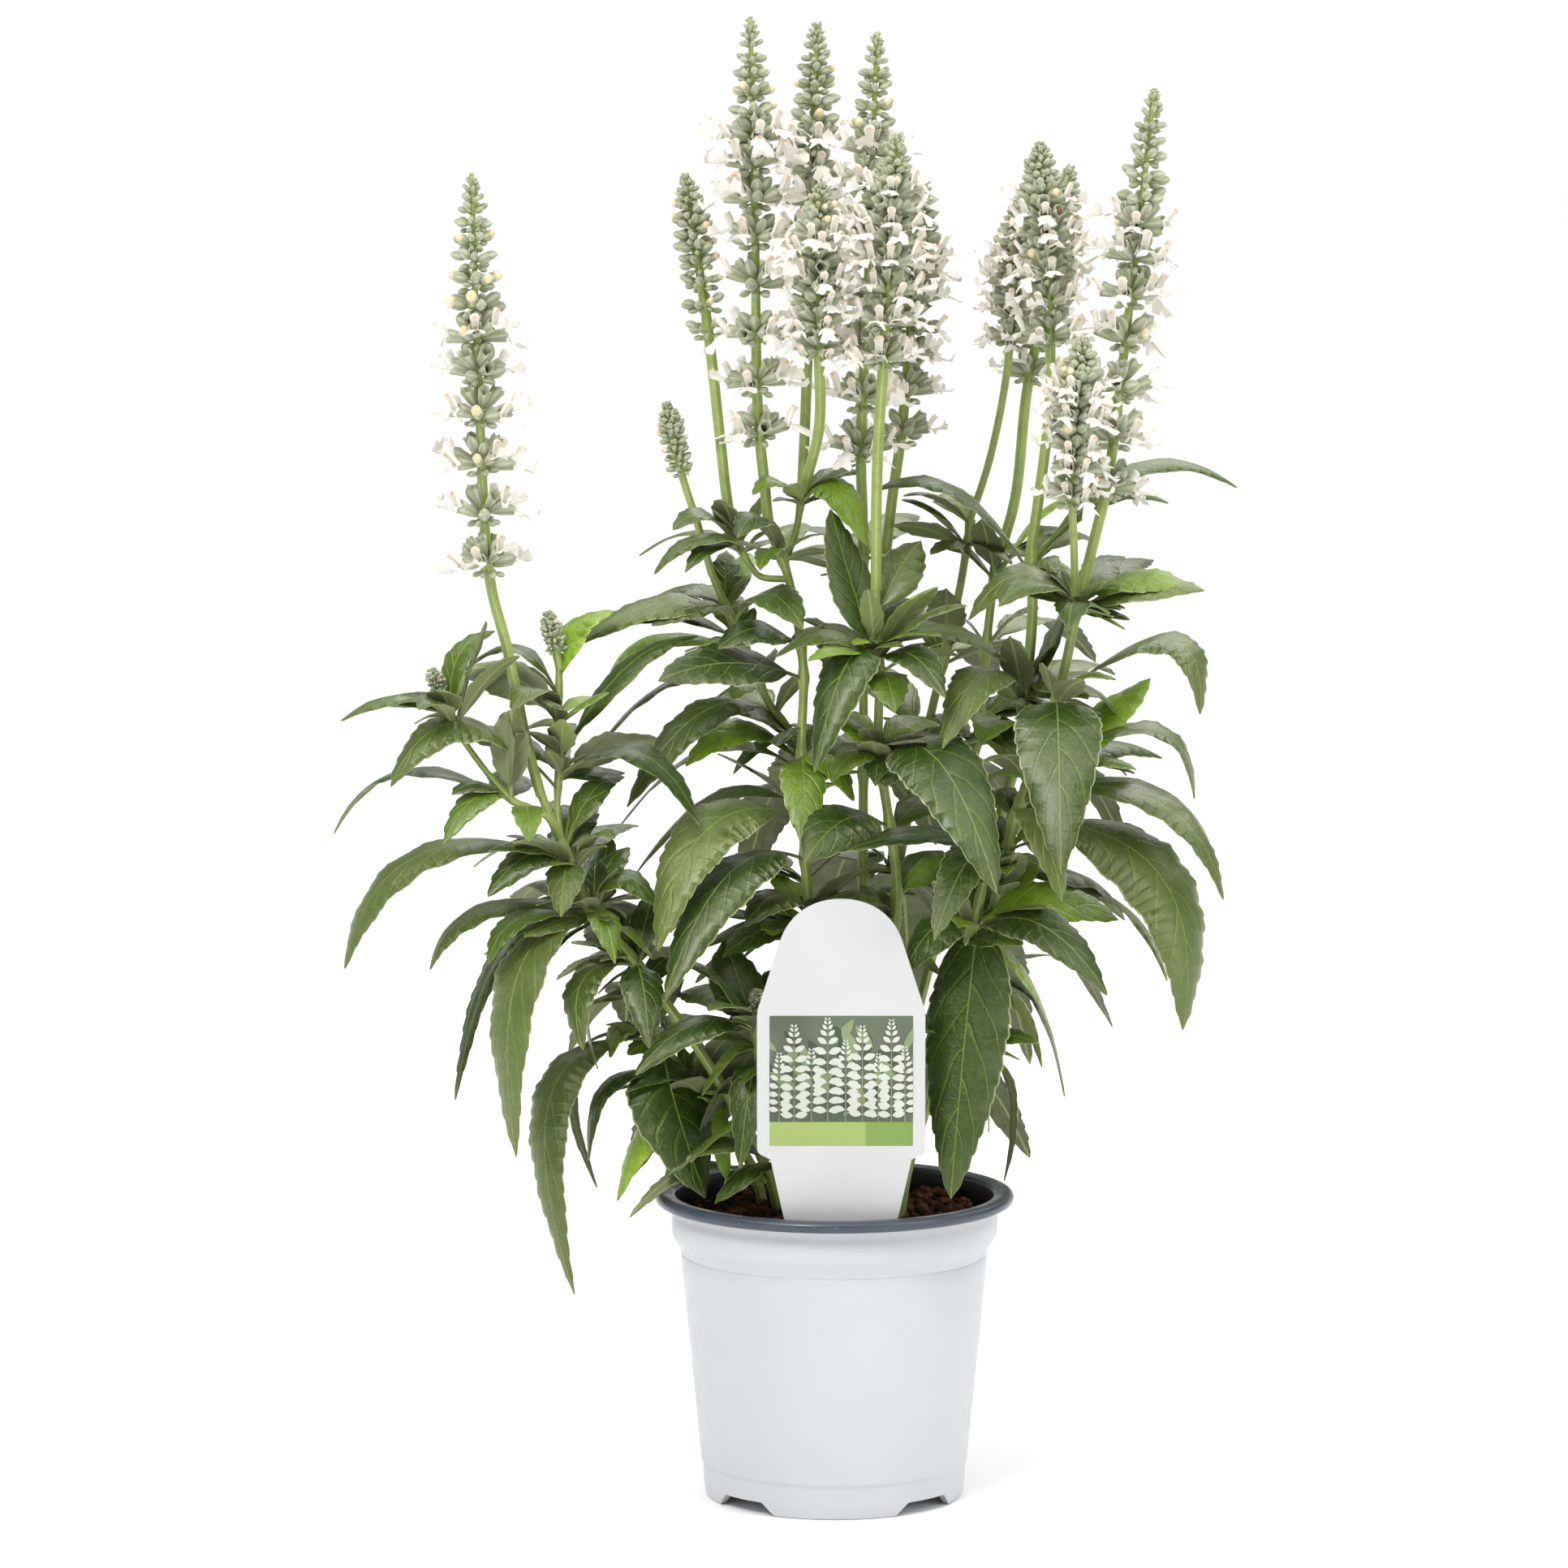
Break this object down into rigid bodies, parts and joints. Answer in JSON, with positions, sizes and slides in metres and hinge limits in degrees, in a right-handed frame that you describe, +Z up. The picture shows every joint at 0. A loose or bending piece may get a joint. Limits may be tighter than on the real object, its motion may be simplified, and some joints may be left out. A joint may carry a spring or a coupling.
{
  "type": "potted mealycup sage",
  "caption": "Bushy flowering sage with upright white flower spikes and toothed lance leaves, growing in a round white nursery pot with a tall plant tag.",
  "frame": {"origin": "on the ground, at the middle of the footprint of the whole object", "axes": "+Z up along the stems, -Y towards the side with the plant tag, +X to the right of someone who looks at the tag"},
  "size_m": [0.2848, 0.182, 0.4675],
  "materials": {
    "pot_plastic": "satin",
    "peat": "matte crumbly peat",
    "tag_plastic": "smooth",
    "leaf": "soft downy leaf with a grey sheen",
    "flower": "soft mealy petals and grey-green calyces"
  },
  "bodies": {
    "root": {"pot": "pot_plastic", "soil": "peat", "plant_tag": "tag_plastic", "leafy_stem_01": "leaf", "leafy_stem_02": "leaf", "leafy_stem_03": "leaf", "leafy_stem_04": "leaf", "leafy_stem_05": "leaf", "leafy_stem_06": "leaf", "leafy_stem_07": "leaf", "leafy_stem_08": "leaf", "leafy_stem_09": "leaf", "leafy_stem_10": "leaf", "leafy_stem_11": "leaf", "leafy_stem_12": "leaf", "flower_spike_01": "flower", "flower_spike_02": "flower", "flower_spike_03": "flower", "flower_spike_04": "flower", "flower_spike_05": "flower", "flower_spike_06": "flower", "flower_spike_07": "flower", "flower_spike_08": "flower", "flower_spike_09": "flower", "flower_spike_10": "flower", "flower_spike_11": "flower", "flower_spike_12": "flower", "flower_spike_13": "flower", "flower_spike_14": "flower", "flower_spike_15": "flower", "flower_spike_16": "flower", "flower_spike_17": "flower"}
  },
  "joints": []
}
